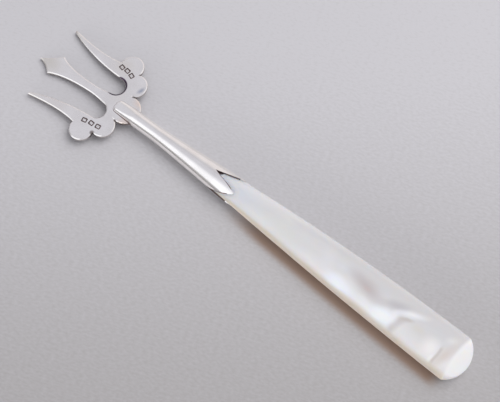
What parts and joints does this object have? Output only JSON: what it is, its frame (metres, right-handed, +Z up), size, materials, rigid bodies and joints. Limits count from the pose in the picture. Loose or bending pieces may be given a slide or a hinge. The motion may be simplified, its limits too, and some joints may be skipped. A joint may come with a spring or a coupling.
{
  "type": "pickle fork",
  "caption": "Small serving fork for pickles: flat trident head with round lobes, tapered metal ferrule with a pointed rear edge, and a flat tapering pearl handle with a rounded end.",
  "frame": {"origin": "middle of the footprint, on the surface that the fork lies on", "axes": "+X along the fork towards the tines, +Z up out of the broad upper side"},
  "size_m": [0.1656, 0.034, 0.0066],
  "materials": {
    "silver": "polished, worn silver with fine scratches",
    "tang_metal": "plain drawn metal, hidden",
    "cement": "dull brown cutler's cement, hidden",
    "pearl": "polished mother of pearl, cloudy white with grey, cream and pink bands"
  },
  "bodies": {
    "root": {"fork_head": "silver", "ferrule_upper": "silver", "ferrule_lower": "silver", "tang": "tang_metal", "cement_fill": "cement", "handle": "pearl"}
  },
  "joints": []
}
